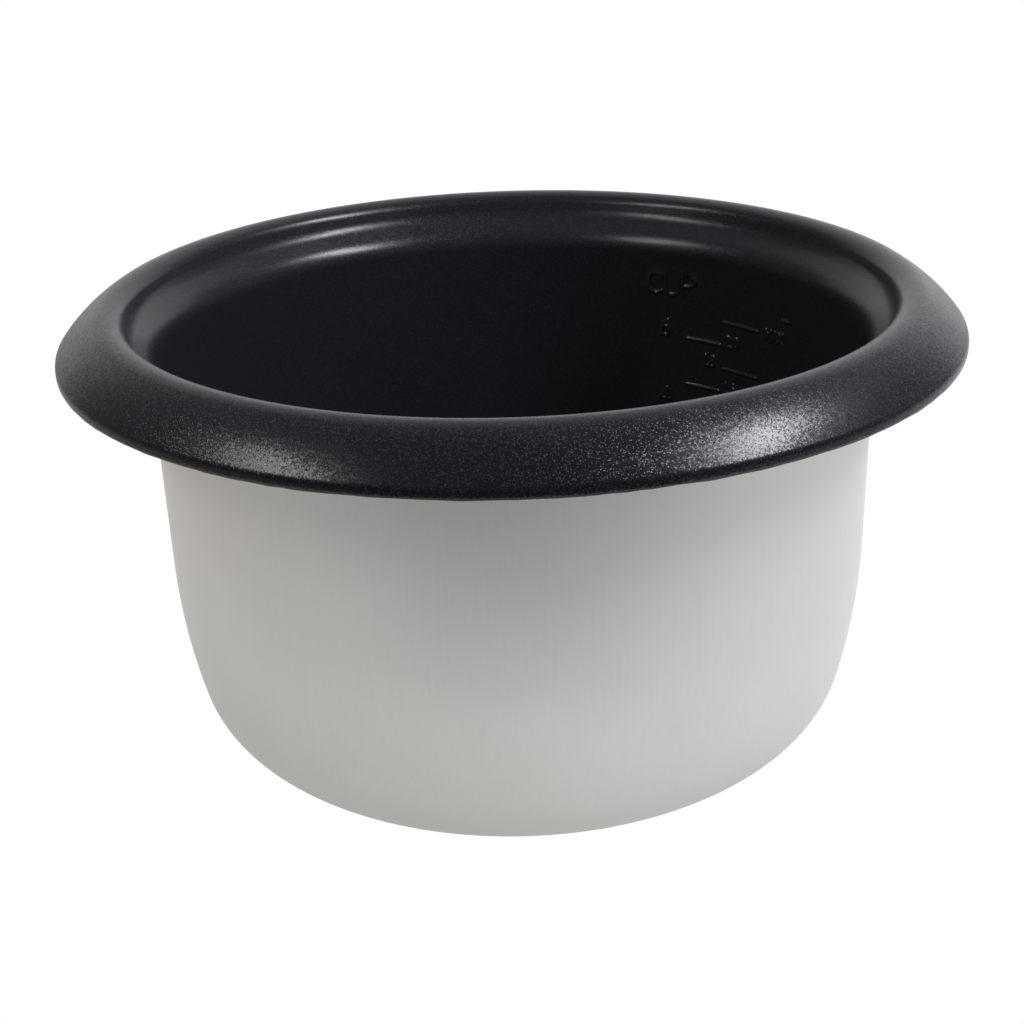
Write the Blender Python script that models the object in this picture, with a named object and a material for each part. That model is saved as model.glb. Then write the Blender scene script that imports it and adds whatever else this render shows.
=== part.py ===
"""The removable inner pot of a rice cooker.

It is one deep-drawn aluminium pan (flat base, rounded belly, nearly straight wall, lid
step, rounded crest, wide sloping flange and a short turned-down hem) and the black
non-stick coating that covers its inside, its crest and its flange down to the hem's edge.

Metres, +Z up.  The origin is the centre of the base's underside.
"""
import math

import bmesh
import bpy
from mathutils import Vector

MM = 0.001

# Driving dimensions of the pan ------------------------------------------------
FLANGE_RADIUS = 117.5 * MM      # to the outside of the coating
HEM_EDGE_HEIGHT = 110.2 * MM    # lower edge of the turned-down hem above the base
WALL_RADIUS = 94.8 * MM         # outside of the wall where it meets the lid step
WALL_TOP_HEIGHT = 107.0 * MM
SHEET = 1.5 * MM                # aluminium thickness
CLEARANCE = 0.3 * MM            # between the solids of the pan and of the coating
COATING = 0.3 * MM              # thickness of the coating's solid

# Angles are those of a walk along the section: 0 outwards, 90 straight up.
WALL_LEAN = math.radians(89.5)
BELLY_LEAN = math.radians(77.0)
STEP_LEAN = math.radians(44.0)
LIP_LEAN = math.radians(75.0)
SHOULDER_LEAN = math.radians(22.0)
SLOPE_TOP_LEAN = math.radians(-31.0)
HEM_LEAN = math.radians(-90.0)

# Bend radii, all on the sheet's outer or upper face
CORNER_RADIUS = 23.5 * MM       # underside of the base into the belly
BELLY_RADIUS = 164.5 * MM
STEP_RADIUS = 7.5 * MM          # wall over into the lid step
LIP_RADIUS = 7.0 * MM           # lid step up into the lip
SHOULDER_RADIUS = 3.4 * MM      # lip over into the crest
CREST_RADIUS = 5.2 * MM
SLOPE_RADIUS = 35.0 * MM        # the flange is slightly crowned
HEM_RADIUS = 2.0 * MM           # flange down into the hem

CREST_CENTRE = (104.2 * MM, 116.8 * MM)

# Water scale, raised on the inside of the wall ---------------------------------
# A ladder with one rung for each step of volume, left and right in turn.
SCALE_STEP = 0.2e-3             # cubic metres between rungs
SCALE_RUNGS = range(2, 12)      # 0.4 to 2.2 litres
LEFT_RUNG = (math.radians(36.5), math.radians(44.1))     # from +Y towards +X
RIGHT_RUNG = (math.radians(44.8), math.radians(53.2))
RUNG_HEIGHT = 1.2 * MM
RUNG_RELIEF = 0.35 * MM

# Mesh fineness ----------------------------------------------------------------
TURN_STEPS = 48
COARSE_ARC = math.radians(16.0)     # most that one chord turns
SHARP_ANGLE = math.radians(35.0)
MERGE_DISTANCE = 0.001 * MM


def direction(angle):
    return Vector((math.cos(angle), math.sin(angle)))


def left_of(angle):
    """The unit normal on the left of the walk, which is the inner or upper side."""
    return Vector((-math.sin(angle), math.cos(angle)))


def arc(centre, radius, start, end):
    """Points and normals of an arc walked from one lean to the other."""
    steps = max(2, math.ceil(abs(end - start) / COARSE_ARC))
    side = 1.0 if end < start else -1.0
    samples = []
    for i in range(steps + 1):
        normal = left_of(start + (end - start) * i / steps)
        samples.append((centre + normal * radius * side, normal))
    return samples


def two_runs(gap, first, second):
    """Lengths along two directions that together cover a gap."""
    a, b = direction(first), direction(second)
    det = a.x * b.y - a.y * b.x
    return (gap.x * b.y - gap.y * b.x) / det, (a.x * gap.y - a.y * gap.x) / det


def base_and_wall():
    """The section from the flat base up to the lid step, on the sheet's inner face."""
    corner = CORNER_RADIUS - SHEET
    belly = BELLY_RADIUS - SHEET
    wall_foot = direction(WALL_LEAN)
    rise = belly * (left_of(BELLY_LEAN).y - left_of(WALL_LEAN).y)
    rise += corner * (left_of(0.0).y - left_of(BELLY_LEAN).y)
    foot_height = rise + SHEET
    wall_length = (WALL_TOP_HEIGHT - foot_height) / wall_foot.y
    top = Vector((WALL_RADIUS - SHEET, WALL_TOP_HEIGHT))
    foot = top - wall_foot * wall_length
    belly_centre = foot + left_of(WALL_LEAN) * belly
    corner_centre = belly_centre + left_of(BELLY_LEAN) * (corner - belly)
    samples = arc(corner_centre, corner, 0.0, BELLY_LEAN)
    samples += arc(belly_centre, belly, BELLY_LEAN, WALL_LEAN)[1:]
    return samples, top


def rim(wall_top):
    """The lid step, lip, crest, flange and hem, on the sheet's inner or upper face."""
    crest = Vector(CREST_CENTRE)
    crest_start = crest + left_of(SHOULDER_LEAN) * CREST_RADIUS
    shoulder = crest_start - left_of(SHOULDER_LEAN) * SHOULDER_RADIUS
    lip_top = shoulder + left_of(LIP_LEAN) * SHOULDER_RADIUS

    step = wall_top - left_of(WALL_LEAN) * STEP_RADIUS
    step_end = step + left_of(STEP_LEAN) * STEP_RADIUS
    bend = (left_of(STEP_LEAN) - left_of(LIP_LEAN)) * LIP_RADIUS
    run, _ = two_runs(lip_top - step_end - bend, STEP_LEAN, LIP_LEAN)
    lip = step_end + direction(STEP_LEAN) * run + left_of(STEP_LEAN) * LIP_RADIUS

    face = FLANGE_RADIUS - CLEARANCE - COATING
    slope = crest + left_of(SLOPE_TOP_LEAN) * (CREST_RADIUS - SLOPE_RADIUS)
    slope_end = -math.asin((face - HEM_RADIUS - slope.x) / (SLOPE_RADIUS - HEM_RADIUS))
    hem = slope + left_of(slope_end) * (SLOPE_RADIUS - HEM_RADIUS)

    samples = arc(step, STEP_RADIUS, WALL_LEAN, STEP_LEAN)
    samples += arc(lip, LIP_RADIUS, STEP_LEAN, LIP_LEAN)
    samples += arc(shoulder, SHOULDER_RADIUS, LIP_LEAN, SHOULDER_LEAN)
    samples += arc(crest, CREST_RADIUS, SHOULDER_LEAN, SLOPE_TOP_LEAN)[1:]
    samples += arc(slope, SLOPE_RADIUS, SLOPE_TOP_LEAN, slope_end)[1:]
    samples += arc(hem, HEM_RADIUS, slope_end, HEM_LEAN)[1:]
    samples.append((Vector((face, HEM_EDGE_HEIGHT)), left_of(HEM_LEAN)))
    return samples


def section():
    """The whole walk from the edge of the flat base to the hem's edge."""
    samples, wall_top = base_and_wall()
    return samples + rim(wall_top)


def shifted(samples, distance):
    """The section moved to its left by a distance: inwards, or up off the flange."""
    return [point + normal * distance for point, normal in samples]


def set_material(obj, name, colour, metallic, roughness):
    material = bpy.data.materials.new(name)
    material.use_nodes = True
    shader = material.node_tree.nodes["Principled BSDF"]
    shader.inputs["Base Color"].default_value = (*colour, 1.0)
    shader.inputs["Metallic"].default_value = metallic
    shader.inputs["Roughness"].default_value = roughness
    obj.data.materials.append(material)


def new_object(name, mesh_builder):
    mesh = bpy.data.meshes.new(name)
    mesh_builder.to_mesh(mesh)
    mesh_builder.free()
    obj = bpy.data.objects.new(name, mesh)
    bpy.context.scene.collection.objects.link(obj)
    return obj


def shade_round(obj):
    obj.data.shade_smooth()
    obj.data.set_sharp_from_angle(angle=SHARP_ANGLE)


def turned(name, inner, outer):
    """A sheet turned about Z between two lines that start at the flat base's edge."""
    builder = bmesh.new()
    line = list(inner) + list(reversed(outer))
    ring = [builder.verts.new((point.x, 0.0, point.y)) for point in line]
    edges = [builder.edges.new(pair) for pair in zip(ring, ring[1:])]
    bmesh.ops.spin(
        builder, geom=ring + edges, cent=(0, 0, 0), axis=(0, 0, 1),
        angle=math.tau, steps=TURN_STEPS, use_merge=True,
    )
    bmesh.ops.remove_doubles(builder, verts=builder.verts, dist=MERGE_DISTANCE)
    rims = [edge for edge in builder.edges if edge.is_boundary]
    bmesh.ops.holes_fill(builder, edges=rims, sides=TURN_STEPS)
    bmesh.ops.recalc_face_normals(builder, faces=builder.faces)
    return new_object(name, builder)


def bowl_radius(line, height):
    """Inner radius of the bowl at a height, along the coating's inner face."""
    for low, high in zip(line, line[1:]):
        if low.y <= height <= high.y:
            share = (height - low.y) / (high.y - low.y)
            return low.x + (high.x - low.x) * share
    raise ValueError("height is outside the bowl")


def fill_height(line, volume):
    """Height of the water line for a volume, by adding thin discs from the base."""
    slice_height = 0.1 * MM
    height, filled = line[0].y, 0.0
    while filled < volume:
        height += slice_height
        filled += math.pi * bowl_radius(line, height) ** 2 * slice_height
    return height


def rungs(line):
    """The water scale's rungs: short bars that are rooted in the coating."""
    builder = bmesh.new()
    bar_steps = 3
    for number in SCALE_RUNGS:
        height = fill_height(line, number * SCALE_STEP)
        start, end = RIGHT_RUNG if number % 2 else LEFT_RUNG
        rooted = bowl_radius(line, height) + COATING / 2
        raised = rooted - COATING / 2 - RUNG_RELIEF
        loops = []
        for i in range(bar_steps + 1):
            angle = start + (end - start) * i / bar_steps
            loop = []
            for radius, z in (
                (rooted, height - RUNG_HEIGHT / 2),
                (raised, height - RUNG_HEIGHT / 2),
                (raised, height + RUNG_HEIGHT / 2),
                (rooted, height + RUNG_HEIGHT / 2),
            ):
                loop.append(builder.verts.new((radius * math.sin(angle), radius * math.cos(angle), z)))
            loops.append(loop)
        for one, two in zip(loops, loops[1:]):
            for i in range(4):
                j = (i + 1) % 4
                builder.faces.new((one[i], one[j], two[j], two[i]))
        builder.faces.new(loops[0])
        builder.faces.new(loops[-1])
    bmesh.ops.recalc_face_normals(builder, faces=builder.faces)
    bars = new_object("scale_rungs", builder)
    bars.hide_render = True
    bars.display_type = "WIRE"
    return bars


def pan_body(samples):
    pan = turned("pan_body", shifted(samples, 0.0), shifted(samples, -SHEET))
    set_material(pan, "aluminium", (0.62, 0.61, 0.59), 1.0, 0.42)
    shade_round(pan)


def nonstick_coating(samples):
    inner = shifted(samples, CLEARANCE + COATING)
    coating = turned("nonstick_coating", inner, shifted(samples, CLEARANCE))
    union = coating.modifiers.new("scale", "BOOLEAN")
    union.operation = "UNION"
    union.object = rungs(inner)
    set_material(coating, "nonstick_black", (0.012, 0.012, 0.014), 0.0, 0.36)
    shade_round(coating)


def main():
    for obj in list(bpy.data.objects):
        bpy.data.objects.remove(obj, do_unlink=True)
    samples = section()
    pan_body(samples)
    nonstick_coating(samples)


main()
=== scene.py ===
"""The looks of a rice cooker's inner pot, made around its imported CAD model.

Two pieces replace the two CAD solids: the aluminium pan and its black non-stick coating,
with the raised water scale pressed into the wall.  Both follow the CAD section exactly,
in much finer steps.  Metres, +Z up; the origin is the centre of the base's underside.
"""
import math

import bmesh
import bpy
import numpy as np
from mathutils import Matrix, Vector, noise


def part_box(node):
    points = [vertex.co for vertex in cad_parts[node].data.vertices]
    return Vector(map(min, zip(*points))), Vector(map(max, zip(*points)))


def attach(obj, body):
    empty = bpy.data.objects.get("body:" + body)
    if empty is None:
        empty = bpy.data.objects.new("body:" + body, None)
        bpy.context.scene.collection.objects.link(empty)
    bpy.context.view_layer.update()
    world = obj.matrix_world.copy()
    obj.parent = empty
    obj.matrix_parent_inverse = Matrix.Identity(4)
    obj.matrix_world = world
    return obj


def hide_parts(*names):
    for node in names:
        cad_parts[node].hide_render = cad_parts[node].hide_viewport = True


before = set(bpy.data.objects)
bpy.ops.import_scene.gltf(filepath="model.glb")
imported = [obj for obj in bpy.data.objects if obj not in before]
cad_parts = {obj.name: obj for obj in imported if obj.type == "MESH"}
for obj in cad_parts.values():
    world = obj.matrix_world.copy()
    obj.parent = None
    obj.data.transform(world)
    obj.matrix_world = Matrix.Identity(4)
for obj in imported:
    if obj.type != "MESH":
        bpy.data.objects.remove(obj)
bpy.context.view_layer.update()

MM = 0.001
HALF_PI = math.pi / 2

# The CAD section's driving dimensions -----------------------------------------------
FLANGE_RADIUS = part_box("nonstick_coating")[1].x
HEM_EDGE_HEIGHT = 110.2 * MM
WALL_RADIUS = 94.8 * MM
WALL_TOP_HEIGHT = 107.0 * MM
SHEET = 1.5 * MM
CAD_COATING = 0.6 * MM          # from the sheet's face to the coating's, with the CAD gap

WALL_LEAN = math.radians(89.5)
BELLY_LEAN = math.radians(77.0)
STEP_LEAN = math.radians(44.0)
LIP_LEAN = math.radians(75.0)
SHOULDER_LEAN = math.radians(22.0)
SLOPE_TOP_LEAN = math.radians(-31.0)
HEM_LEAN = math.radians(-90.0)

CORNER_RADIUS = 23.5 * MM
BELLY_RADIUS = 164.5 * MM
STEP_RADIUS = 7.5 * MM
LIP_RADIUS = 7.0 * MM
SHOULDER_RADIUS = 3.4 * MM
CREST_RADIUS = 5.2 * MM
SLOPE_RADIUS = 35.0 * MM        # the flange is slightly crowned
HEM_RADIUS = 2.0 * MM
CREST_CENTRE = (104.2 * MM, 116.8 * MM)

SCALE_STEP = 0.2e-3             # cubic metres between the water scale's rungs
SCALE_RUNGS = range(2, 12)
LEFT_RUNG = (math.radians(36.5), math.radians(44.1))     # from +Y towards +X
RIGHT_RUNG = (math.radians(44.8), math.radians(53.2))

# How the visible surfaces are made --------------------------------------------------
SKIN = 0.08 * MM                # the visible coating's thickness
BOND = 0.01 * MM                # between the pan's face and the coating's back
EDGE_ROUND = 0.5 * MM           # on the hem's lower edge
COATING_LAP = math.radians(70.0)    # how far the coating goes round that edge
FRAY_DROP = 0.2 * MM            # of the coating below the hem's edge
FRAY_SWING = 0.25 * MM
FRAY_DENSITY = 40.0             # of the unevenness, round a unit circle
SHARP_ANGLE = math.radians(50.0)
ON_AXIS = 0.001 * MM            # least radius that a turned ring has
TURN_STEPS = 264
FINE_ARC = math.radians(3.0)    # most that one chord turns
FINE_RUN = 2.2 * MM             # longest step along the section

# The scale's places: angles from +Y towards +X, and heights above the base ----------
LITRE = 1e-3
INNER_WALL = 92.5 * MM          # the unrolled wall's radius
LEFT_FIGURE = math.radians(45.3)
RIGHT_FIGURE = math.radians(40.4)
MAX_PLACE = math.radians(55.5)
FIGURE_HEIGHT = 3.2 * MM
CUPS = 6
FIRST_CUP = 0.2e-3              # the water line rises by a step for each cup of rice
CUP_STEP = 0.3e-3
CUP_COLUMN = math.radians(31.0)
CUP_FIGURE_HEIGHT = 5.0 * MM
HEADER_LEFT = math.radians(28.0)
HEADER_RIGHT = math.radians(59.5)
HEADER_FOOT = 94.5 * MM
HEADER_HEIGHT = 6.6 * MM
HEADER_WIDTH = 1.25             # of its letters, against the figures below
LETTER_GAP = 0.2                # between letters, as a share of their height

RELIEF = 0.45 * MM
STROKE = 0.45 * MM              # width of a stroke's top
STROKE_RAMP = 0.5 * MM          # from the top down to the wall
STROKE_CUTS = 7                 # cuts across each mesh face under a stroke
CORNER_REACH = 0.75             # from a mesh face's middle to its corners, against its side
WALL_SLACK = 4 * RELIEF         # how far inside the wall's radius its face is still found
FACE_SLACK = 0.02 * MM          # between a point and the face that it is tested against
CUT_SLACK = 0.1 * MM            # the same, for points that the cuts have made
BOWL_TAPER = 0.2                # the wall narrows by less than this share of a drop

# Finishes ---------------------------------------------------------------------------
# The materials' coordinates are millimetres, so their places, spacings and scales are too.
# Only the depths of the bumps are metres.  Each noise is a scale, a detail and a roughness.
MIDDLE_NOISE = (0.3, 0.7)       # where most of a noise texture's values lie

COATING_COLOUR = (0.006, 0.0062, 0.0088)
# Painted light: the coating inside the crest is given a paler colour than outside, to brighten the
# bowl's interior
INSIDE_PAINTED_LIGHT_COLOUR = (0.0108, 0.0104, 0.0135)
INSIDE_FROM = CREST_CENTRE[0] / MM + 2.0    # radius where the outer finish turns into the inner one: smoother, and paler with painted light
INSIDE_TO = CREST_CENTRE[0] / MM - 3.0
COATING_ROUGHNESS = 0.28
COATING_IOR = 1.285
PEEL_DEPTH = 0.006 * MM
PEEL_NOISE = (0.9, 3.0, 0.6)
FLECK_SPACING = 0.33
FLECK_SIZE = 0.5                # radius, as a share of the spacing
FLECK_CORE = 0.7                # share of the radius where a fleck starts to fade
FLECK_SHARE = 0.4               # of the cells that hold a fleck
FLECK_CHOICE = 0.02             # width of the step between having one and not
FLECK_COLOUR = (0.034, 0.034, 0.038)
FLECK_METAL = 0.6
FLECK_ROUGHNESS = 0.42
FLECK_TILT = 0.34
GRAIN_TILT = 0.1
SMOOTH_INSIDE = 0.3             # the tilts' share that is left inside the crest
ROUGHNESS_SWING = 0.02
ROUGHNESS_NOISE = (0.05, 2.0, 0.5)

EDGE_COLOUR = (0.045, 0.045, 0.045)
WORN_RADIUS = (114.0, 115.0)    # from none to all of the wear
WORN_HEIGHT = (0.3, 0.9)        # least and most, above the hem's edge
WORN_BLUR = 0.1                 # either side of the strip's upper edge
WORN_NOISE = (1.6, 2.0, 0.5)

ALUMINIUM_DARK = (0.63, 0.625, 0.62)
ALUMINIUM_LIGHT = (0.69, 0.685, 0.68)
ALUMINIUM_ROUGHNESS = 0.5
ALUMINIUM_SWING = 0.03          # of its roughness
GRAIN_STRETCH = 0.06
GRAIN_NOISE = (1.3, 4.0, 0.7)
GRAIN_TONE = 0.5
GRAIN_DEPTH = 0.004 * MM
CLOUD_NOISE = (0.03, 3.0, 0.5)  # of the broad patches in the aluminium's tone
CLOUD_TONE = 0.4


# Section ----------------------------------------------------------------------------
def direction(angle):
    return Vector((math.cos(angle), math.sin(angle)))


def left_of(angle):
    """The unit normal on the left of the walk, which is the inner or upper side."""
    return Vector((-math.sin(angle), math.cos(angle)))


def arc(centre, radius, start, end):
    """Points and normals of an arc walked from one lean to the other."""
    turn = abs(end - start)
    steps = max(2, math.ceil(turn / FINE_ARC), math.ceil(turn * radius / FINE_RUN))
    side = 1.0 if end < start else -1.0
    samples = []
    for i in range(steps + 1):
        normal = left_of(start + (end - start) * i / steps)
        samples.append((centre + normal * radius * side, normal))
    return samples


def run_between(samples, more):
    """Joins two stretches with evenly spaced points along the straight between them."""
    (start, normal), (end, _) = samples[-1], more[0]
    steps = math.ceil((end - start).length / FINE_RUN)
    for i in range(1, steps):
        samples.append((start.lerp(end, i / steps), normal))
    samples.extend(more if steps else more[1:])
    return samples


def two_runs(gap, first, second):
    """Lengths along two directions that together cover a gap."""
    a, b = direction(first), direction(second)
    det = a.x * b.y - a.y * b.x
    return (gap.x * b.y - gap.y * b.x) / det, (a.x * gap.y - a.y * gap.x) / det


def base_and_wall():
    """The section from the flat base up to the lid step, on the sheet's inner face."""
    corner = CORNER_RADIUS - SHEET
    belly = BELLY_RADIUS - SHEET
    wall_foot = direction(WALL_LEAN)
    rise = belly * (left_of(BELLY_LEAN).y - left_of(WALL_LEAN).y)
    rise += corner * (left_of(0.0).y - left_of(BELLY_LEAN).y)
    foot_height = rise + SHEET
    wall_length = (WALL_TOP_HEIGHT - foot_height) / wall_foot.y
    top = Vector((WALL_RADIUS - SHEET, WALL_TOP_HEIGHT))
    foot = top - wall_foot * wall_length
    belly_centre = foot + left_of(WALL_LEAN) * belly
    corner_centre = belly_centre + left_of(BELLY_LEAN) * (corner - belly)
    samples = arc(corner_centre, corner, 0.0, BELLY_LEAN)
    samples += arc(belly_centre, belly, BELLY_LEAN, WALL_LEAN)[1:]
    return samples, top


def rim(wall_top):
    """The lid step, lip, crest, flange and hem, on the sheet's inner or upper face."""
    crest = Vector(CREST_CENTRE)
    crest_start = crest + left_of(SHOULDER_LEAN) * CREST_RADIUS
    shoulder = crest_start - left_of(SHOULDER_LEAN) * SHOULDER_RADIUS
    lip_top = shoulder + left_of(LIP_LEAN) * SHOULDER_RADIUS

    step = wall_top - left_of(WALL_LEAN) * STEP_RADIUS
    step_end = step + left_of(STEP_LEAN) * STEP_RADIUS
    bend = (left_of(STEP_LEAN) - left_of(LIP_LEAN)) * LIP_RADIUS
    along, _ = two_runs(lip_top - step_end - bend, STEP_LEAN, LIP_LEAN)
    lip = step_end + direction(STEP_LEAN) * along + left_of(STEP_LEAN) * LIP_RADIUS

    face = FLANGE_RADIUS - CAD_COATING
    slope = crest + left_of(SLOPE_TOP_LEAN) * (CREST_RADIUS - SLOPE_RADIUS)
    slope_end = -math.asin((face - HEM_RADIUS - slope.x) / (SLOPE_RADIUS - HEM_RADIUS))
    hem = slope + left_of(slope_end) * (SLOPE_RADIUS - HEM_RADIUS)

    samples = arc(step, STEP_RADIUS, WALL_LEAN, STEP_LEAN)
    samples = run_between(samples, arc(lip, LIP_RADIUS, STEP_LEAN, LIP_LEAN))
    samples = run_between(samples, arc(shoulder, SHOULDER_RADIUS, LIP_LEAN, SHOULDER_LEAN))
    samples += arc(crest, CREST_RADIUS, SHOULDER_LEAN, SLOPE_TOP_LEAN)[1:]
    samples += arc(slope, SLOPE_RADIUS, SLOPE_TOP_LEAN, slope_end)[1:]
    samples += arc(hem, HEM_RADIUS, slope_end, HEM_LEAN)[1:]
    edge = (Vector((face, HEM_EDGE_HEIGHT)), left_of(HEM_LEAN))
    return run_between(samples, [edge])


def section():
    """The whole walk along the sheet's inner face, from the base's edge to the hem's."""
    samples, wall_top = base_and_wall()
    return run_between(samples, rim(wall_top))


def shifted(samples, distance):
    """The section moved to its left by a distance: inwards, or up off the flange."""
    return [point + normal * distance for point, normal in samples]


def thinned(samples):
    """Every other sample, for the faces between the sheet and its coating."""
    return samples[:-1:2] + samples[-1:]


# Turning ----------------------------------------------------------------------------
def turned(line):
    """A bmesh turned about Z from a line that starts and ends on the axis."""
    builder = bmesh.new()
    rings = []
    for point in line:
        if point.x < ON_AXIS:
            rings.append([builder.verts.new((0.0, 0.0, point.y))])
            continue
        ring = []
        for i in range(TURN_STEPS):
            angle = math.tau * i / TURN_STEPS
            x, y = point.x * math.sin(angle), point.x * math.cos(angle)
            ring.append(builder.verts.new((x, y, point.y)))
        rings.append(ring)
    for one, two in zip(rings, rings[1:]):
        for i in range(TURN_STEPS):
            j = (i + 1) % TURN_STEPS
            corners = [one[i % len(one)], one[j % len(one)], two[j % len(two)], two[i % len(two)]]
            builder.faces.new(list(dict.fromkeys(corners)))
    bmesh.ops.recalc_face_normals(builder, faces=builder.faces)
    return builder


def flat_disc(edge):
    """Points from the axis out to a flat base's edge."""
    steps = 8
    return [Vector((edge.x * i / steps, edge.y)) for i in range(steps)]


def new_piece(name, builder, material):
    mesh = bpy.data.meshes.new(name)
    builder.to_mesh(mesh)
    builder.free()
    mesh.shade_smooth()
    mesh.set_sharp_from_angle(angle=SHARP_ANGLE)
    mesh.materials.append(material)
    obj = bpy.data.objects.new(name, mesh)
    bpy.context.scene.collection.objects.link(obj)
    return obj


def rounding(centre, radius, start, end):
    """A quarter or less of the round edge on a sheet's end."""
    steps = 6
    line = []
    for i in range(steps + 1):
        angle = start + (end - start) * i / steps
        line.append(centre + direction(angle) * radius)
    return line


# Pieces -----------------------------------------------------------------------------
def sheet_end(outer, inner):
    """The round lower edge of the hem, from its outer face round to its inner one."""
    radius = min(EDGE_ROUND, (outer - inner) / 2)
    height = HEM_EDGE_HEIGHT + radius
    line = rounding(Vector((outer - radius, height)), radius, 0.0, -HALF_PI)
    line += rounding(Vector((inner + radius, height)), radius, -HALF_PI, -2 * HALF_PI)
    return line


def aluminium_pan(samples, material):
    """The drawn sheet.  Its upper face meets the coating's back; its lower one is the CAD's."""
    upper = shifted(thinned(samples[:-1]), CAD_COATING - SKIN - BOND)
    lower = shifted(samples[:-1], -SHEET)
    end = sheet_end(upper[-1].x, lower[-1].x)
    end = [point + Vector((0.0, SKIN)) for point in end]
    line = flat_disc(upper[0]) + upper + end
    line += list(reversed(lower)) + list(reversed(flat_disc(lower[0])))
    return new_piece("aluminium_pan", turned(line), material)


def coating(samples, material):
    """The non-stick coating, a thin skin that laps round the hem's edge."""
    front = shifted(samples[:-1], CAD_COATING)
    back = shifted(thinned(samples[:-1]), CAD_COATING - SKIN)
    lap_centre = Vector((front[-1].x - EDGE_ROUND, HEM_EDGE_HEIGHT + EDGE_ROUND))
    lap = rounding(lap_centre, EDGE_ROUND, 0.0, -COATING_LAP)
    inner_lap = [lap_centre + (point - lap_centre) * (1 - SKIN / EDGE_ROUND) for point in lap]
    line = flat_disc(front[0]) + front + lap + list(reversed(inner_lap))
    line += list(reversed(back)) + list(reversed(flat_disc(back[0])))
    builder = turned(line)
    emboss(builder, front)
    fray_edge(builder, lap_centre)
    return new_piece("coating", builder, material)


def fray_edge(builder, lap_centre):
    """Lets the coating end a little lower and unevenly round the hem."""
    for vert in builder.verts:
        if vert.co.z < lap_centre.y and vert.co.xy.length > lap_centre.x - EDGE_ROUND:
            unevenness = noise.noise(vert.co.normalized() * FRAY_DENSITY)
            share = (lap_centre.y - vert.co.z) / EDGE_ROUND
            vert.co.z -= share * (FRAY_DROP + FRAY_SWING * unevenness)


# Water scale ------------------------------------------------------------------------
def bow(x, y, width, height, start, end):
    """A stroke along an ellipse, in shares of the letter's height and in degrees."""
    steps = 14
    turn = [math.radians(start + (end - start) * i / steps) for i in range(steps + 1)]
    return [(x + width * math.cos(t), y + height * math.sin(t)) for t in turn]


# Each letter's width, and its strokes, in shares of its height.
LETTERS = {
    "0": (0.56, [bow(0.28, 0.5, 0.28, 0.5, 0, 360)]),
    "1": (0.30, [[(0.0, 0.78), (0.22, 1.0), (0.22, 0.0)]]),
    "2": (0.56, [bow(0.28, 0.72, 0.28, 0.28, 165, -40) + [(0.0, 0.0), (0.56, 0.0)]]),
    "4": (0.60, [[(0.44, 0.0), (0.44, 1.0), (0.0, 0.3), (0.6, 0.3)]]),
    "6": (0.56, [bow(0.28, 0.3, 0.28, 0.3, 0, 360), bow(0.52, 0.3, 0.52, 0.7, 180, 100)]),
    "8": (0.56, [bow(0.28, 0.27, 0.28, 0.27, 0, 360), bow(0.28, 0.77, 0.23, 0.23, 0, 360)]),
    ".": (0.08, [[(0.0, 0.0), (0.08, 0.0)]]),
    "C": (0.58, [bow(0.34, 0.5, 0.34, 0.5, 48, 312)]),
    "U": (0.56, [[(0.0, 1.0)] + bow(0.28, 0.3, 0.28, 0.3, 180, 360) + [(0.56, 1.0)]]),
    "P": (0.54, [[(0.0, 0.0), (0.0, 1.0)] + bow(0.26, 0.74, 0.28, 0.26, 90, -90) + [(0.0, 0.48)]]),
    "L": (0.46, [[(0.0, 1.0), (0.0, 0.0), (0.46, 0.0)]]),
    "M": (0.70, [[(0.0, 0.0), (0.0, 1.0), (0.35, 0.35), (0.7, 1.0), (0.7, 0.0)]]),
    "A": (0.62, [[(0.0, 0.0), (0.31, 1.0), (0.62, 0.0)], [(0.12, 0.34), (0.5, 0.34)]]),
    "X": (0.56, [[(0.0, 0.0), (0.56, 1.0)], [(0.0, 1.0), (0.56, 0.0)]]),
}


def written(text, azimuth, foot, height, wide=1.0):
    """A word's strokes on the unrolled wall: along it from +Y, and up."""
    along = azimuth * INNER_WALL
    strokes = []
    for letter in text:
        width, shapes = LETTERS[letter]
        for shape in shapes:
            strokes.append([(along + x * wide * height, foot + y * height) for x, y in shape])
        along += (width * wide + LETTER_GAP) * height
    return strokes


def bowl_radius(line, height):
    """Inner radius of the bowl at a height, along the coating's inner face."""
    for low, high in zip(line, line[1:]):
        if low.y <= height <= high.y:
            share = (height - low.y) / (high.y - low.y)
            return low.x + (high.x - low.x) * share
    raise ValueError("height is outside the bowl")


def fill_height(line, volume):
    """Height of the water line for a volume, by adding thin discs from the base."""
    slice_height = 0.1 * MM
    height, filled = line[0].y, 0.0
    while filled < volume:
        height += slice_height
        filled += math.pi * bowl_radius(line, height) ** 2 * slice_height
    return height


def scale_strokes(line):
    """The whole water scale: a ladder in litres, with cups on its left."""
    strokes = []
    for number in SCALE_RUNGS:
        height = fill_height(line, number * SCALE_STEP)
        left = number % 2 == 0
        start, end = LEFT_RUNG if left else RIGHT_RUNG
        strokes.append([(start * INNER_WALL, height), (end * INNER_WALL, height)])
        if number == SCALE_RUNGS[-1]:
            strokes += written("MAX", MAX_PLACE, height - FIGURE_HEIGHT / 2, FIGURE_HEIGHT)
            continue
        litres = "%.1f" % (number * SCALE_STEP / LITRE)
        strokes += written(litres, LEFT_FIGURE if left else RIGHT_FIGURE, height, FIGURE_HEIGHT)
    for cups in range(1, CUPS + 1):
        height = fill_height(line, FIRST_CUP + cups * CUP_STEP)
        text = str(cups) if cups % 2 == 0 else ""
        strokes += written(text, CUP_COLUMN, height, CUP_FIGURE_HEIGHT)
    strokes += written("CUP", HEADER_LEFT, HEADER_FOOT, HEADER_HEIGHT, HEADER_WIDTH)
    strokes += written("L", HEADER_RIGHT, HEADER_FOOT, HEADER_HEIGHT)
    return strokes


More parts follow.
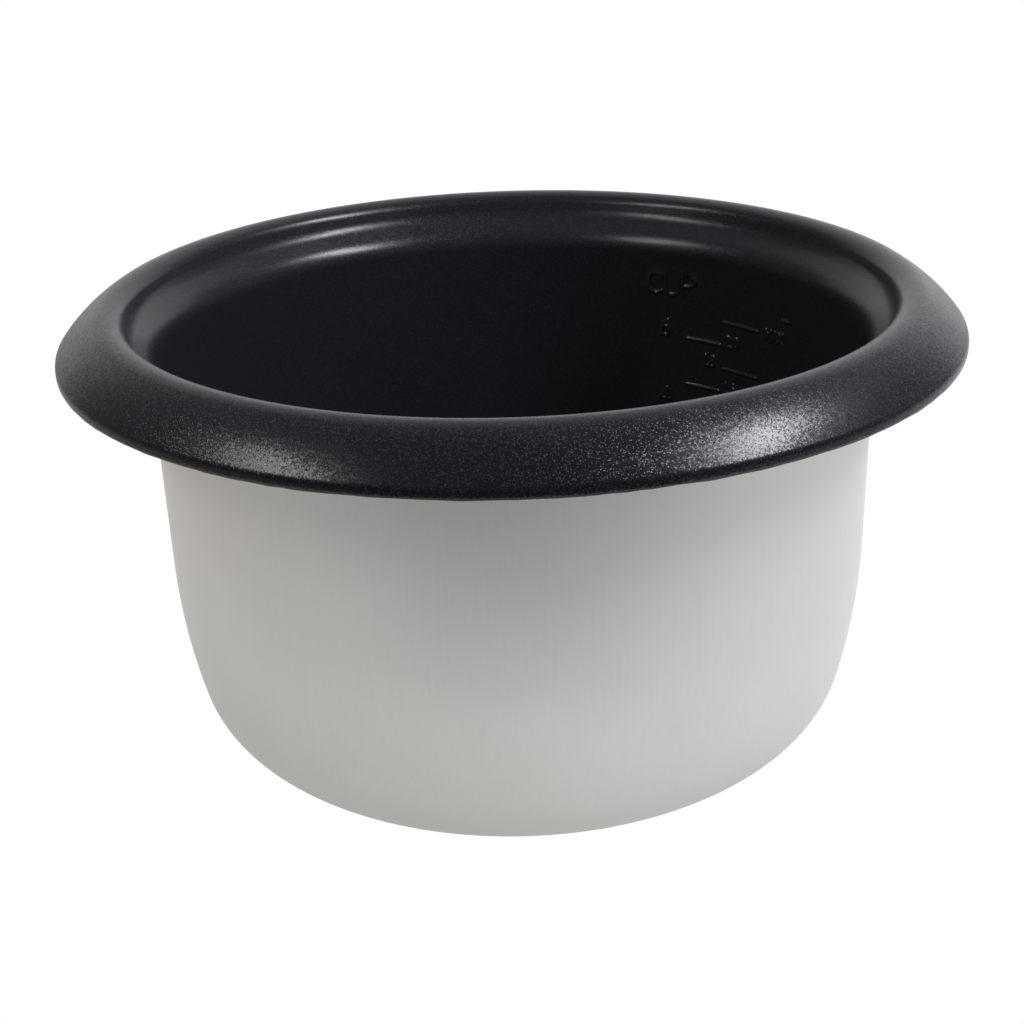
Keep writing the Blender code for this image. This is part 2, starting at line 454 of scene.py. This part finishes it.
def stroke_ends(strokes):
    """Every straight run of the strokes, as two arrays of points."""
    starts = [a for stroke in strokes for a in stroke[:-1]]
    ends = [b for stroke in strokes for b in stroke[1:]]
    return np.array(starts), np.array(ends)


def distance_to_runs(places, starts, ends):
    """Each place's distance to the nearest run."""
    nearest = np.full(len(places), np.inf)
    for start, end in zip(starts, ends):
        run = end - start
        share = np.clip((places - start) @ run / (run @ run), 0.0, 1.0)
        gap = places - start - share[:, None] * run
        nearest = np.minimum(nearest, np.hypot(gap[:, 0], gap[:, 1]))
    return nearest


def unrolled(points):
    """Where points of the wall lie on its unrolled face."""
    return np.stack([np.arctan2(points[:, 0], points[:, 1]) * INNER_WALL, points[:, 2]], axis=1)


def is_front(point, front, slack=FACE_SLACK):
    """Whether a point is on the coating's inner face, and not on its back."""
    return point.xy.length < bowl_radius(front, point.z) + slack


def emboss(builder, front):
    """Cuts the wall finely under the strokes, and presses them inwards."""
    starts, ends = stroke_ends(scale_strokes(front))
    reach = STROKE / 2 + STROKE_RAMP
    low, high = starts[:, 1].min() - reach, starts[:, 1].max() + reach

    def on_wall(point):
        least = INNER_WALL - WALL_SLACK - (HEADER_FOOT - point.z) * BOWL_TAPER
        return low < point.z < high and point.xy.length > least

    visible = {vert for vert in builder.verts if on_wall(vert.co) and is_front(vert.co, front)}
    faces = [face for face in builder.faces if all(vert in visible for vert in face.verts)]
    centres = unrolled(np.array([face.calc_center_median() for face in faces]))
    cell = max(FINE_RUN, math.tau * INNER_WALL / TURN_STEPS)
    near = distance_to_runs(centres, starts, ends) < reach + cell * CORNER_REACH
    edges = {edge for face, close in zip(faces, near) if close for edge in face.edges}
    made = bmesh.ops.subdivide_edges(
        builder, edges=list(edges), cuts=STROKE_CUTS, use_grid_fill=True,
    )
    cut = [item for item in made["geom"] if isinstance(item, bmesh.types.BMFace)]
    touched = {vert for face in cut for vert in face.verts}
    touched = [vert for vert in touched if is_front(vert.co, front, CUT_SLACK)]
    places = unrolled(np.array([vert.co for vert in touched]))
    ramp = np.clip((reach - distance_to_runs(places, starts, ends)) / STROKE_RAMP, 0.0, 1.0)
    rise = RELIEF * ramp * ramp * (3.0 - 2.0 * ramp)
    for vert, lift in zip(touched, rise):
        out = vert.co.xy.normalized()
        radius = bowl_radius(front, vert.co.z) - lift
        vert.co.x, vert.co.y = out.x * radius, out.y * radius


# Materials --------------------------------------------------------------------------
def node(tree, kind, inputs=None, **settings):
    """A shader node with its settings, and its inputs set or linked."""
    made = tree.nodes.new("ShaderNode" + kind)
    for name, value in settings.items():
        setattr(made, name, value)
    for name, value in (inputs or {}).items():
        if isinstance(value, bpy.types.NodeSocket):
            tree.links.new(value, made.inputs[name])
        else:
            made.inputs[name].default_value = value
    return made


def new_material(name):
    """A material with its Principled shader, and the object's coordinates in millimetres."""
    material = bpy.data.materials.new(name)
    material.use_nodes = True
    tree = material.node_tree
    place = node(tree, "TexCoord").outputs["Object"]
    in_mm = vector_node(tree, "SCALE", {0: place, "Scale": 1.0 / MM})
    return material, tree, tree.nodes["Principled BSDF"], in_mm


def remap(tree, value, low, high, to_low, to_high, smooth=False):
    kind = "SMOOTHSTEP" if smooth else "LINEAR"
    inputs = {"Value": value, "From Min": low, "From Max": high}
    inputs.update({"To Min": to_low, "To Max": to_high})
    return node(tree, "MapRange", inputs, interpolation_type=kind).outputs["Result"]


def swung(tree, noise_value, middle, swing):
    """A noise texture's value, spread about a middle by up to a swing."""
    return remap(tree, noise_value, *MIDDLE_NOISE, middle - swing, middle + swing)


def noise_texture(tree, place, scale, detail, roughness):
    inputs = {"Vector": place, "Scale": scale, "Detail": detail, "Roughness": roughness}
    return node(tree, "TexNoise", inputs).outputs["Fac"]


def math_node(tree, operation, one, two):
    return node(tree, "Math", {0: one, 1: two}, operation=operation).outputs["Value"]


def vector_node(tree, operation, inputs):
    return node(tree, "VectorMath", inputs, operation=operation).outputs["Vector"]


def mixed(tree, factor, one, two):
    """A colour between two others, which are sockets or plain colours."""
    one, two = [c if isinstance(c, bpy.types.NodeSocket) else (*c, 1.0) for c in (one, two)]
    inputs = {"Factor": factor, "A": one, "B": two}
    return node(tree, "Mix", inputs, data_type="RGBA").outputs["Result"]


def nonstick_material():
    """Matte black fluoropolymer with mica flecks in it, over a fine orange peel.  Inside the crest
    it is painted paler: painted light that brightens the bowl's interior.
    """
    material, tree, shader, place = new_material("speckled_nonstick")
    peel = noise_texture(tree, place, *PEEL_NOISE)
    bump = node(tree, "Bump", {"Height": peel, "Strength": 1.0, "Distance": PEEL_DEPTH})

    level = vector_node(tree, "MULTIPLY", {0: place, 1: (1.0, 1.0, 0.0)})
    out = node(tree, "VectorMath", {0: level}, operation="LENGTH").outputs["Value"]
    inside = remap(tree, out, INSIDE_TO, INSIDE_FROM, 1.0, 0.0)

    flecks = node(tree, "TexVoronoi", {"Vector": place, "Scale": 1.0 / FLECK_SPACING})
    core = FLECK_SIZE * FLECK_CORE
    disc = remap(tree, flecks.outputs["Distance"], FLECK_SIZE, core, 0.0, 1.0)
    draw = node(tree, "SeparateXYZ", {0: flecks.outputs["Color"]}).outputs["X"]
    without = 1.0 - FLECK_SHARE
    chosen = remap(tree, draw, without, without + FLECK_CHOICE, 0.0, 1.0)
    fleck = math_node(tree, "MULTIPLY", disc, chosen)

    centred = vector_node(tree, "SUBTRACT", {0: flecks.outputs["Color"], 1: (0.5, 0.5, 0.5)})
    strength = remap(tree, inside, 0.0, 1.0, 1.0, SMOOTH_INSIDE)
    lean = remap(tree, fleck, 0.0, 1.0, GRAIN_TILT, FLECK_TILT)
    lean = math_node(tree, "MULTIPLY", lean, strength)
    tilt = vector_node(tree, "SCALE", {0: centred, "Scale": lean})
    leaned = vector_node(tree, "ADD", {0: bump.outputs["Normal"], 1: tilt})
    normal = vector_node(tree, "NORMALIZE", {0: leaned})

    cloud = noise_texture(tree, place, *ROUGHNESS_NOISE)
    rough = swung(tree, cloud, COATING_ROUGHNESS, ROUGHNESS_SWING)
    rougher = math_node(tree, "MULTIPLY", fleck, FLECK_ROUGHNESS - COATING_ROUGHNESS)
    metal = math_node(tree, "MULTIPLY", fleck, FLECK_METAL)

    # The paler colour inside the crest is painted light on the bowl's interior, not a different
    # coating
    base = mixed(tree, inside, COATING_COLOUR, INSIDE_PAINTED_LIGHT_COLOUR)
    speckled = mixed(tree, fleck, base, FLECK_COLOUR)
    colour = mixed(tree, worn_edge(tree, place, out), speckled, EDGE_COLOUR)
    tree.links.new(colour, shader.inputs["Base Color"])
    tree.links.new(metal, shader.inputs["Metallic"])
    tree.links.new(math_node(tree, "ADD", rough, rougher), shader.inputs["Roughness"])
    tree.links.new(normal, shader.inputs["Normal"])
    shader.inputs["IOR"].default_value = COATING_IOR
    return material


def worn_edge(tree, place, out):
    """Where the coating is rubbed paler, in an uneven strip along the hem's lower edge."""
    outside = remap(tree, out, *WORN_RADIUS, 0.0, 1.0)
    height = node(tree, "SeparateXYZ", {0: place}).outputs["Z"]
    fray = noise_texture(tree, place, *WORN_NOISE)
    least, most = [HEM_EDGE_HEIGHT / MM + rise for rise in WORN_HEIGHT]
    edge_top = remap(tree, fray, *MIDDLE_NOISE, least, most)
    depth = math_node(tree, "SUBTRACT", edge_top, height)
    below = remap(tree, depth, -WORN_BLUR, WORN_BLUR, 0.0, 1.0)
    return math_node(tree, "MULTIPLY", below, outside)


def aluminium_material():
    """Satin aluminium with the upright grain of deep drawing."""
    material, tree, shader, place = new_material("satin_aluminium")
    stretched = node(tree, "Mapping", {"Vector": place, "Scale": (1.0, 1.0, GRAIN_STRETCH)})
    grain = noise_texture(tree, stretched.outputs["Vector"], *GRAIN_NOISE)
    cloud = noise_texture(tree, place, *CLOUD_NOISE)
    fine, broad = swung(tree, grain, 0.0, GRAIN_TONE), swung(tree, cloud, 0.0, CLOUD_TONE)
    share = remap(tree, math_node(tree, "ADD", fine, broad), -1.0, 1.0, 0.0, 1.0)
    colour = mixed(tree, share, ALUMINIUM_DARK, ALUMINIUM_LIGHT)
    rough = swung(tree, grain, ALUMINIUM_ROUGHNESS, ALUMINIUM_SWING)
    bump = node(tree, "Bump", {"Height": grain, "Strength": 1.0, "Distance": GRAIN_DEPTH})
    tree.links.new(colour, shader.inputs["Base Color"])
    tree.links.new(rough, shader.inputs["Roughness"])
    tree.links.new(bump.outputs["Normal"], shader.inputs["Normal"])
    shader.inputs["Metallic"].default_value = 1.0
    return material


# Stage ------------------------------------------------------------------------------
# The backdrop and the floor are plain white and only the camera sees them.  What the pot
# reflects is a studio of its own: a dark room, a bright wall behind, a white table and two
# softboxes.
WHITE = (1.0, 1.0, 1.0)
BACKDROP_RADIUS = 9.0
BACKDROP_STEPS = 64

ROOM_DARK = (0.11, 0.11, 0.13)
ROOM_SPLIT = (0.0, 0.9994, -0.035)  # square to where the wall of light ends overhead
ROOM_SPLIT_WIDTH = 0.1
WALL_LEFT = (0.85, 0.83, 0.81)
WALL_RIGHT = (1.3, 1.33, 1.35)
WALL_ACROSS = (-0.8, 0.8)       # of the view's direction, from one colour to the other
WALL_RISE = (0.3, 1.0)
WALL_TOP_GLOW = 1.3
SIDE_SPREAD = (-0.3, 0.3)       # where the wall gives way to the sides
SIDE_GLOW = 0.15                # of the wall, out to the sides

TABLE_HALF_WIDTH = 1.5
TABLE_BACK = 2.0
TABLE_DROP = 0.001              # below the pot's base
TABLE_EDGE = 0.27               # in front of the pot's axis
TABLE_NEAR = 1.02
TABLE_FAR = 1.32
TABLE_FAR_FROM = 0.3            # behind the pot's axis
TABLE_LEFT = (0.655, 0.627, 0.582)
TABLE_RIGHT = (1.1, 1.135, 1.13)
TABLE_ACROSS = (-0.4, 0.4)      # from one colour to the other
TABLE_SIDES = (0.1, 0.5)        # where the glow falls off to the sides
TABLE_SIDE_GLOW = 0.62
SHADOW_CENTRE = (-0.025, 0.0, 0.0)
SHADOW_CORE = 0.06
SHADOW_REACH = 0.18
SHADOW_GLOW = 0.64              # of the table, in the shadow's core

# Each softbox's name, azimuth and height in degrees, distance, width and height, roll in
# degrees, power and colour.
SOFTBOXES = [
    ("right_softbox", (72.5, 44.8), 1.1, (0.45, 0.16), 28.0, 16.3, (0.95, 0.98, 1.0)),
    ("left_softbox", (-62.5, 37.6), 0.74, (0.30, 0.12), -28.0, 2.75, (1.0, 0.96, 0.91)),
]


def seen_by_camera_only(obj):
    obj.visible_diffuse = False
    obj.visible_glossy = False
    obj.visible_transmission = False
    obj.visible_shadow = False


def glowing(name, colour):
    material = bpy.data.materials.new(name)
    material.use_nodes = True
    tree = material.node_tree
    tree.nodes.clear()
    glow = tree.nodes.new("ShaderNodeEmission")
    glow.inputs["Color"].default_value = (*colour, 1.0)
    glow.inputs["Strength"].default_value = 1.0
    output = tree.nodes.new("ShaderNodeOutputMaterial")
    tree.links.new(glow.outputs["Emission"], output.inputs["Surface"])
    return material


def backdrop():
    """A white floor with a white dome over it."""
    white = glowing("backdrop_white", WHITE)
    builder = bmesh.new()
    bmesh.ops.create_circle(
        builder, cap_ends=True, segments=BACKDROP_STEPS, radius=BACKDROP_RADIUS,
    )
    sheet = new_piece("floor", builder, white)
    builder = bmesh.new()
    bmesh.ops.create_uvsphere(
        builder, u_segments=BACKDROP_STEPS, v_segments=BACKDROP_STEPS // 2,
        radius=BACKDROP_RADIUS,
    )
    dome = new_piece("backdrop", builder, white)
    for obj in (sheet, dome):
        seen_by_camera_only(obj)


def light_table():
    """The white table that lights the pot from below.  Its front edge is close to the pot."""
    builder = bmesh.new()
    left, right, near = -TABLE_HALF_WIDTH, TABLE_HALF_WIDTH, -TABLE_EDGE
    corners = [(left, near), (right, near), (right, TABLE_BACK), (left, TABLE_BACK)]
    builder.faces.new([builder.verts.new((x, y, -TABLE_DROP)) for x, y in corners])
    material = glowing("table_white", WHITE)
    tree = material.node_tree
    place = node(tree, "TexCoord").outputs["Object"]
    split = node(tree, "SeparateXYZ", {0: place})
    share = remap(tree, split.outputs["X"], *TABLE_ACROSS, 0.0, 1.0)
    glow = remap(tree, split.outputs["Y"], near, TABLE_FAR_FROM, TABLE_NEAR, TABLE_FAR)
    from_shadow = node(tree, "VectorMath", {0: place, 1: SHADOW_CENTRE}, operation="DISTANCE")
    away = from_shadow.outputs["Value"]
    shade = remap(tree, away, SHADOW_CORE, SHADOW_REACH, SHADOW_GLOW, 1.0, smooth=True)
    sideways = math_node(tree, "ABSOLUTE", split.outputs["X"], 0.0)
    fall = remap(tree, sideways, *TABLE_SIDES, 1.0, TABLE_SIDE_GLOW)
    light = math_node(tree, "MULTIPLY", math_node(tree, "MULTIPLY", glow, shade), fall)
    emission = tree.nodes["Emission"]
    tree.links.new(mixed(tree, share, TABLE_LEFT, TABLE_RIGHT), emission.inputs["Color"])
    tree.links.new(light, emission.inputs["Strength"])
    table = new_piece("table", builder, material)
    table.visible_camera = False


def softbox(name, place, distance, size, roll, power, colour):
    """A light that faces the pot, from an azimuth (-Y towards +X) and a height above it."""
    lamp = bpy.data.lights.new(name, "AREA")
    lamp.shape = "RECTANGLE"
    lamp.size, lamp.size_y = size
    lamp.energy = power
    lamp.color = colour
    obj = bpy.data.objects.new(name, lamp)
    azimuth, height = [math.radians(angle) for angle in place]
    level = math.cos(height)
    away = Vector((math.sin(azimuth) * level, -math.cos(azimuth) * level, math.sin(height)))
    obj.location = Vector((0, 0, HEM_EDGE_HEIGHT)) + away * distance
    facing = away.to_track_quat("Z", "Y").to_matrix()
    obj.rotation_euler = (facing @ Matrix.Rotation(math.radians(roll), 3, "Z")).to_euler()
    bpy.context.scene.collection.objects.link(obj)


def room():
    """The world: dark in front and overhead, and a wall of light behind the pot."""
    made = bpy.data.worlds.new("studio")
    made.use_nodes = True
    tree = made.node_tree
    place = node(tree, "TexCoord").outputs["Generated"]
    behind = node(tree, "VectorMath", {0: place, 1: ROOM_SPLIT}, operation="DOT_PRODUCT")
    edge = remap(tree, behind.outputs["Value"], 0.0, ROOM_SPLIT_WIDTH, 0.0, 1.0, smooth=True)
    split = node(tree, "SeparateXYZ", {0: place})
    glow = remap(tree, split.outputs["Z"], *WALL_RISE, 1.0, WALL_TOP_GLOW)
    across = remap(tree, split.outputs["X"], *WALL_ACROSS, 0.0, 1.0)
    wall = mixed(tree, across, WALL_LEFT, WALL_RIGHT)
    sideways = math_node(tree, "ABSOLUTE", split.outputs["X"], 0.0)
    spread = math_node(tree, "SUBTRACT", sideways, split.outputs["Y"])
    panel = remap(tree, spread, *SIDE_SPREAD, 1.0, SIDE_GLOW, smooth=True)
    share = math_node(tree, "MULTIPLY", math_node(tree, "MULTIPLY", edge, glow), panel)
    colour = mixed(tree, share, ROOM_DARK, wall)
    tree.links.new(colour, tree.nodes["Background"].inputs["Color"])
    bpy.context.scene.world = made


# Camera: height and distance as shares of the flange's radius -----------------------
CAMERA_DISTANCE = 3.6
CAMERA_RISE = 1.1163            # above the hem's edge
CAMERA_PITCH = math.radians(-23.64)
CAMERA_YAW = math.radians(-0.18)    # towards +X
CAMERA_ROLL = math.radians(-1.92)
LENS = 58.32                    # millimetres, as is the sensor
SENSOR_WIDTH = 36.0


def camera():
    data = bpy.data.cameras.new("camera")
    data.lens = LENS
    data.sensor_width = SENSOR_WIDTH
    obj = bpy.data.objects.new("camera", data)
    height = HEM_EDGE_HEIGHT + CAMERA_RISE * FLANGE_RADIUS
    obj.location = (0.0, -CAMERA_DISTANCE * FLANGE_RADIUS, height)
    turn = Matrix.Rotation(-CAMERA_YAW, 4, "Z")
    tilt = Matrix.Rotation(HALF_PI + CAMERA_PITCH, 4, "X")
    roll = Matrix.Rotation(CAMERA_ROLL, 4, "Z")
    obj.rotation_euler = (turn @ tilt @ roll).to_euler()
    bpy.context.scene.collection.objects.link(obj)
    bpy.context.scene.camera = obj


def main():
    camera()
    samples = section()
    pan = aluminium_pan(samples, aluminium_material())
    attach(pan, "root")
    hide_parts("pan_body")
    skin = coating(samples, nonstick_material())
    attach(skin, "root")
    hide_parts("nonstick_coating")
    backdrop()
    light_table()
    for box in SOFTBOXES:
        softbox(*box)
    room()
    bpy.context.scene.view_settings.view_transform = "Standard"


main()
